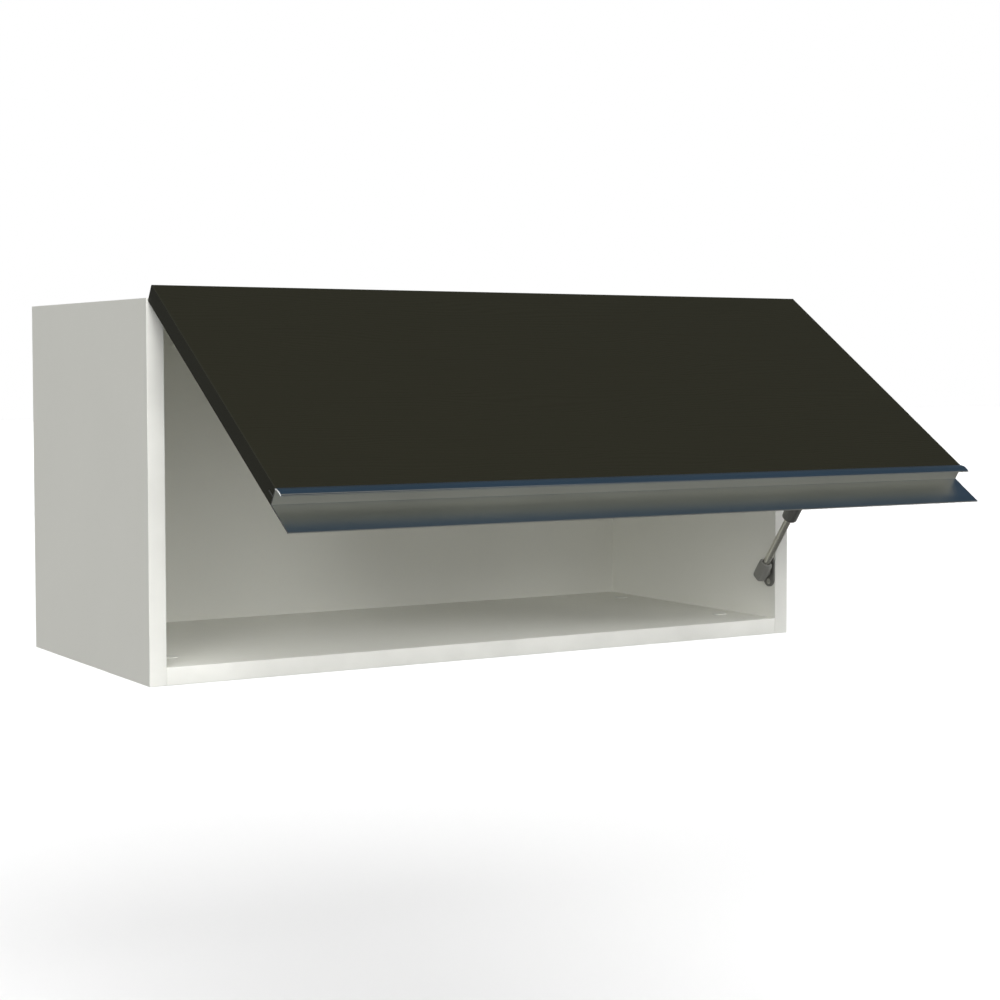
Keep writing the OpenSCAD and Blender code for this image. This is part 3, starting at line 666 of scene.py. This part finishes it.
class CABINET_OT_cover_caps(bpy.types.Operator):
    """Model the round cover caps over the cam locks, each with a fine ring in its face"""

    bl_idname = "cabinet.cover_caps"
    bl_label = "Cover caps"

    def execute(self, context):
        low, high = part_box("cam_caps")
        coat_nodes("cam_caps")
        radius = 0.0085
        thickness = 0.001
        rim = 0.0022
        ring = 0.00018  # width and depth of the fine ring, and rounding of the cap's edges
        copies = []
        for level in (high.z - thickness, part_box("bottom_panel")[1].z):
            for x in (low.x + radius, high.x - radius):
                for y in (low.y + radius, high.y - radius):
                    bpy.ops.mesh.primitive_cylinder_add(
                        vertices=context.scene.cabinet_fixings.cap_sides, radius=radius, depth=thickness,
                        location=(x, y, level + thickness / 2),
                    )
                    cap = context.object
                    bpy.ops.object.mode_set(mode="EDIT")
                    mesh = bmesh.from_edit_mesh(cap.data)
                    for face in mesh.faces:
                        face.select_set(face.normal.z > 0.9)
                    bmesh.update_edit_mesh(cap.data)
                    bpy.ops.mesh.inset(thickness=rim)
                    bpy.ops.mesh.inset(thickness=ring)
                    bpy.ops.transform.translate(value=(0, 0, -ring))
                    bpy.ops.mesh.inset(thickness=ring)
                    bpy.ops.transform.translate(value=(0, 0, ring))
                    bpy.ops.object.mode_set(mode="OBJECT")
                    copies.append(cap)
        clear_selection()
        for cap in copies:
            cap.select_set(True)
        context.view_layer.objects.active = copies[0]
        bpy.ops.object.join()
        caps = context.object
        caps.name = "cover_caps"
        soft_edges(caps, ring, 2, 50)
        coat(caps, "white_plastic")
        settle(caps, "carcass", "white_plastic", "cam_caps")
        return {"FINISHED"}


class CABINET_OT_door(bpy.types.Operator):
    """Coat the door board and round the outer corners of its edge bands"""

    bl_idname = "cabinet.door"
    bl_label = "Door"

    def execute(self, context):
        radius = context.scene.cabinet_door.edge_radius
        coat_nodes("door_panel", "door_edge_band_top")
        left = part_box("door_edge_band_left")[0].x + HAIR
        rounded_band("door_edge_band_left", radius, lambda a, b: a.x < left and b.x < left)
        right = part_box("door_edge_band_right")[1].x - HAIR
        rounded_band("door_edge_band_right", radius, lambda a, b: a.x > right and b.x > right)
        return {"FINISHED"}


class CABINET_OT_finger_profile(bpy.types.Operator):
    """Smooth the extruded finger profile, sharpen its inner corner and bare its sawn ends"""

    bl_idname = "cabinet.finger_profile"
    bl_label = "Finger profile"

    def tighten_corner(self, piece, radius):
        """Draw the rounded inner corner of the hollow in to a smaller radius."""
        wall, height, old_radius, near = 0.0015, 0.042, 0.014, 0.00003
        upright = Matrix.Rotation(OPEN_ANGLE, 4, "X")  # turns the door's own axes upright
        section = [upright @ vertex.co for vertex in piece.data.vertices]
        corner_y = max(point.y for point in section) - wall
        corner_z = min(point.z for point in section) + height - wall
        back = upright.inverted()
        for vertex, point in zip(piece.data.vertices, section):
            y = point.y - (corner_y - old_radius)
            z = point.z - (corner_z - old_radius)
            if y > -HAIR and z > -HAIR and abs(math.hypot(y, z) - old_radius) < near:
                share = radius / old_radius
                vertex.co = back @ Vector((
                    point.x, corner_y - radius + share * y, corner_z - radius + share * z))

    def execute(self, context):
        coat_nodes("handle_profile")
        profile = merged_copy("handle_profile", "finger_profile")
        self.tighten_corner(profile, context.scene.cabinet_profile.corner)
        pick(profile)
        bpy.ops.object.shade_smooth_by_angle(angle=math.radians(30))
        coat(profile, "anodised_aluminium")
        profile.data.materials.append(finish("sawn_aluminium"))
        for face in profile.data.polygons:
            if abs(face.normal.x) > 0.9:
                face.material_index = 1
                face.use_smooth = False
        settle(profile, "door", "anodised_aluminium", "handle_profile")
        return {"FINISHED"}


class CABINET_OT_hinges(bpy.types.Operator):
    """Coat the two leaf hinges"""

    bl_idname = "cabinet.hinges"
    bl_label = "Leaf hinges"

    def execute(self, context):
        coat_nodes(
            "hinge_left_fixed_leaf", "hinge_right_fixed_leaf", "hinge_left_pin", "hinge_right_pin",
            "hinge_left_door_leaf", "hinge_right_door_leaf",
        )
        return {"FINISHED"}


class CABINET_OT_screws(bpy.types.Operator):
    """Cut cross recesses into the screws of the hinges and the strut"""

    bl_idname = "cabinet.screws"
    bl_label = "Screws"

    def execute(self, context):
        settings = context.scene.cabinet_fixings
        recessed_screws("hinge_fixed_screws", "carcass_leaf_screws", Vector((0, -1, 0)), settings)
        recessed_screws("hinge_door_screws", "door_leaf_screws", BEHIND_DOOR, settings)
        recessed_screws("strut_side_screws", "side_plate_screws", Vector((-1, 0, 0)), settings)
        recessed_screws("strut_door_screws", "door_plate_screws", BEHIND_DOOR, settings)
        return {"FINISHED"}


class CABINET_OT_gas_strut(bpy.types.Operator):
    """Soften the moulded sockets of the gas strut and put the seal's lip round its rod"""

    bl_idname = "cabinet.gas_strut"
    bl_label = "Gas strut"

    def seal(self, settings):
        """Lip of the seal, in the cylinder's mouth."""
        clearance = 0.00003
        pivot, slide = frame["record"]["behaviour"]["joints"][1:3]
        ball, along = Vector(pivot["pos_m"]), Vector(slide["axis"])
        cylinder = frame["nodes"]["strut_cylinder"].data
        mouth = min(along.dot(vertex.co - ball) for vertex in cylinder.vertices)
        rod_radius = (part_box("strut_rod")[1].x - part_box("strut_rod")[0].x) / 2
        bpy.ops.mesh.primitive_torus_add(
            major_segments=64, minor_segments=12, location=ball + mouth * along,
            rotation=along.to_track_quat("Z", "X").to_euler(),
            major_radius=rod_radius + settings.seal_height / 2 + clearance,
            minor_radius=settings.seal_height / 2,
        )
        lip = bpy.context.object
        lip.name = "rod_seal_lip"
        bpy.ops.object.shade_smooth()
        coat(lip, "guide_plastic")
        settle(lip, "strut_cylinder_end", "guide_plastic")

    def execute(self, context):
        coat_nodes(
            "strut_side_bracket", "strut_side_ball_stud", "strut_rod", "strut_piston",
            "strut_rod_guide", "strut_door_bracket", "strut_door_stud",
        )
        seat_radius = 0.0056  # the ball seat in each socket, which keeps its form
        strut_x = frame["record"]["behaviour"]["joints"][1]["pos_m"][0]
        for name, new_name, stud in (
            ("strut_rod_socket", "rod_end_socket", "strut_side_ball_stud"),
            ("strut_cylinder_socket", "cylinder_end_socket", "strut_door_stud"),
        ):
            low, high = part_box(stud)
            seat = Vector((strut_x, (low.y + high.y) / 2, (low.z + high.z) / 2))
            moulded_copy(name, new_name, seat, seat_radius)
        smooth_copy("strut_cylinder", "gas_cylinder", 40)
        self.seal(context.scene.cabinet_strut)
        return {"FINISHED"}


class CABINET_OT_stage(bpy.types.Operator):
    """Set up the pale floor, the soft lights and the camera"""

    bl_idname = "cabinet.stage"
    bl_label = "Stage"

    def floor(self, settings):
        """Pale floor with painted shade: a little darker near the camera and the cabinet."""
        bpy.ops.mesh.primitive_plane_add(size=60, location=(0, 0, UNDERSIDE - settings.floor_drop))
        ground = bpy.context.object
        ground.name = "studio_floor"
        material, tree, shader = blank_material("pale floor")
        depth = node(tree, "ShaderNodeSeparateXYZ", {"Vector": place(tree)}).outputs["Y"]
        distance = remap(tree, depth, 0, 1, 1.0, 6.0)
        # painted shade: the floor is painted darker nearer the cabinet and the camera, lighter far behind
        paint = blend_colours(tree, distance, (0.87, 0.87, 0.87), (0.95, 0.95, 0.95))
        tree.links.new(paint, shader.inputs["Base Color"])
        shader.inputs["Roughness"].default_value = 0.9
        shader.inputs["Specular IOR Level"].default_value = 0.0
        ground.data.materials.append(material)
        ground.visible_diffuse = False  # the light from below is set by the bounce
        ground.visible_glossy = False

    def surroundings(self, settings):
        """White behind, light from below, and a dusky blue overhead for reflections."""
        world = bpy.data.worlds.new("studio")
        bpy.context.scene.world = world
        world.use_nodes = True
        tree = world.node_tree
        tree.nodes.clear()
        output = tree.nodes.new("ShaderNodeOutputWorld")
        path = node(tree, "ShaderNodeLightPath")
        height = node(
            tree, "ShaderNodeSeparateXYZ",
            {"Vector": node(tree, "ShaderNodeTexCoord").outputs["Generated"]},
        ).outputs["Z"]
        ramp = node(tree, "ShaderNodeValToRGB", {"Fac": remap(tree, height, 0, 1, -1, 1)})
        stops = ramp.color_ramp.elements
        stops[0].position, stops[0].color = 0.12, GROUND
        stops[1].position, stops[1].color = 1.0, SKY_TOP
        for position, colour in ((0.44, HORIZON), (0.54, HORIZON), (0.61, SKY_MIDDLE), (0.80, SKY_HIGH)):
            stop = stops.new(position)
            stop.color = colour
        plain = node(tree, "ShaderNodeBackground", {"Color": (1, 1, 1, 1), "Strength": 1.0})
        below = remap(tree, height, settings.bounce, 0, -0.05, 0.05)
        fill = node(tree, "ShaderNodeBackground", {"Color": (1, 1, 0.98, 1), "Strength": below})
        sheen = node(tree, "ShaderNodeBackground", {"Color": ramp.outputs["Color"], "Strength": 1.0})
        lit = node(tree, "ShaderNodeMixShader", {
            "Fac": path.outputs["Is Glossy Ray"], 1: fill.outputs[0], 2: sheen.outputs[0]})
        seen = node(tree, "ShaderNodeMixShader", {
            "Fac": path.outputs["Is Camera Ray"], 1: lit.outputs[0], 2: plain.outputs[0]})
        tree.links.new(seen.outputs[0], output.inputs["Surface"])

    def soft_light(self, name, azimuth, elevation, spread, strength):
        """Distant soft light; azimuth runs from the front (0) to the cabinet's right."""
        bpy.ops.object.light_add(type="SUN", location=(0, 0, 3))
        lamp = bpy.context.object
        lamp.name = name
        lamp.data.energy = strength
        lamp.data.angle = math.radians(spread)
        lamp.visible_glossy = False
        side, rise = math.radians(azimuth), math.radians(elevation)
        level = math.cos(rise)
        source = Vector((level * math.sin(side), -level * math.cos(side), math.sin(rise)))
        lamp.rotation_euler = source.to_track_quat("Z", "Y").to_euler()

    def inner_light(self, settings):
        """Soft panel under the raised door that lights the inside."""
        bpy.ops.object.light_add(type="AREA", location=(0, -0.50, -0.10))
        lamp = bpy.context.object
        lamp.name = "inner light"
        lamp.data.shape = "RECTANGLE"
        lamp.data.size = 0.70
        lamp.data.size_y = 0.25
        lamp.data.energy = settings.inner
        lamp.rotation_euler = Vector((0, 0.35, -1)).to_track_quat("-Z", "Y").to_euler()
        lamp.visible_glossy = False
        lamp.visible_camera = False

    def camera(self, settings):
        """Camera at the photograph's place, as a perspective fit to the cabinet's edges gives it."""
        place_of_lens = (-1.14765, -2.28963, -0.01396)
        look_down, turn_right = 2.858, 32.052
        frame_shift = (-0.050, -0.030)
        bpy.ops.object.camera_add(
            location=place_of_lens,
            rotation=(math.radians(90 - look_down), 0, math.radians(-turn_right)),
        )
        camera = bpy.context.object
        camera.name = "photo_camera"
        camera.data.sensor_width = 36.0
        camera.data.lens = settings.focal_length
        camera.data.shift_x, camera.data.shift_y = frame_shift
        camera.data.clip_end = 200
        bpy.context.scene.camera = camera

    def execute(self, context):
        settings = context.scene.cabinet_stage
        clear_selection()
        self.floor(settings)
        self.surroundings(settings)
        for name, azimuth, elevation, spread, strength in (
            ("key light", -25, 30, 44, settings.key),
            ("front light", 0, 30, 44, 0.68 * settings.key),
            ("left light", -50, 17, 40, 0.41 * settings.key),
            ("low left light", -62, 4, 40, 0.23 * settings.key),
            ("right fill light", 65, 7, 40, settings.fill),
            ("overhead light", 0, 90, 60, settings.overhead),
        ):
            self.soft_light(name, azimuth, elevation, spread, strength)
        self.inner_light(settings)
        self.camera(settings)
        context.scene.view_settings.view_transform = "Standard"
        context.scene.view_settings.look = "None"
        return {"FINISHED"}


STEPS = (
    CABINET_OT_carcass,
    CABINET_OT_joinery,
    CABINET_OT_cover_caps,
    CABINET_OT_door,
    CABINET_OT_finger_profile,
    CABINET_OT_hinges,
    CABINET_OT_screws,
    CABINET_OT_gas_strut,
    CABINET_OT_stage,
)


class CABINET_PT_panel(bpy.types.Panel):
    """Sizes, finishes and steps of the cabinet"""

    bl_idname = "CABINET_PT_panel"
    bl_label = "Lift-up cabinet"
    bl_space_type = "VIEW_3D"
    bl_region_type = "UI"
    bl_category = "Cabinet"

    def draw(self, context):
        for key, group in SETTINGS.items():
            box = self.layout.box()
            box.label(text=group.__doc__)
            for name in group.__annotations__:
                box.prop(getattr(context.scene, key), name)
        for step in STEPS:
            self.layout.operator(step.bl_idname)


def register():
    for group in SETTINGS.values():
        bpy.utils.register_class(group)
    for key, group in SETTINGS.items():
        setattr(bpy.types.Scene, key, PointerProperty(type=group))
    for step in (*STEPS, CABINET_PT_panel):
        bpy.utils.register_class(step)


def unregister():
    for step in reversed((*STEPS, CABINET_PT_panel)):
        bpy.utils.unregister_class(step)
    for key in SETTINGS:
        delattr(bpy.types.Scene, key)
    for group in SETTINGS.values():
        bpy.utils.unregister_class(group)


def main():
    register()
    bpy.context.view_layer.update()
    bpy.ops.cabinet.carcass()
    bpy.ops.cabinet.joinery()
    bpy.ops.cabinet.cover_caps()
    bpy.ops.cabinet.door()
    bpy.ops.cabinet.finger_profile()
    bpy.ops.cabinet.hinges()
    bpy.ops.cabinet.screws()
    bpy.ops.cabinet.gas_strut()
    bpy.ops.cabinet.stage()


if __name__ == "__main__":
    main()
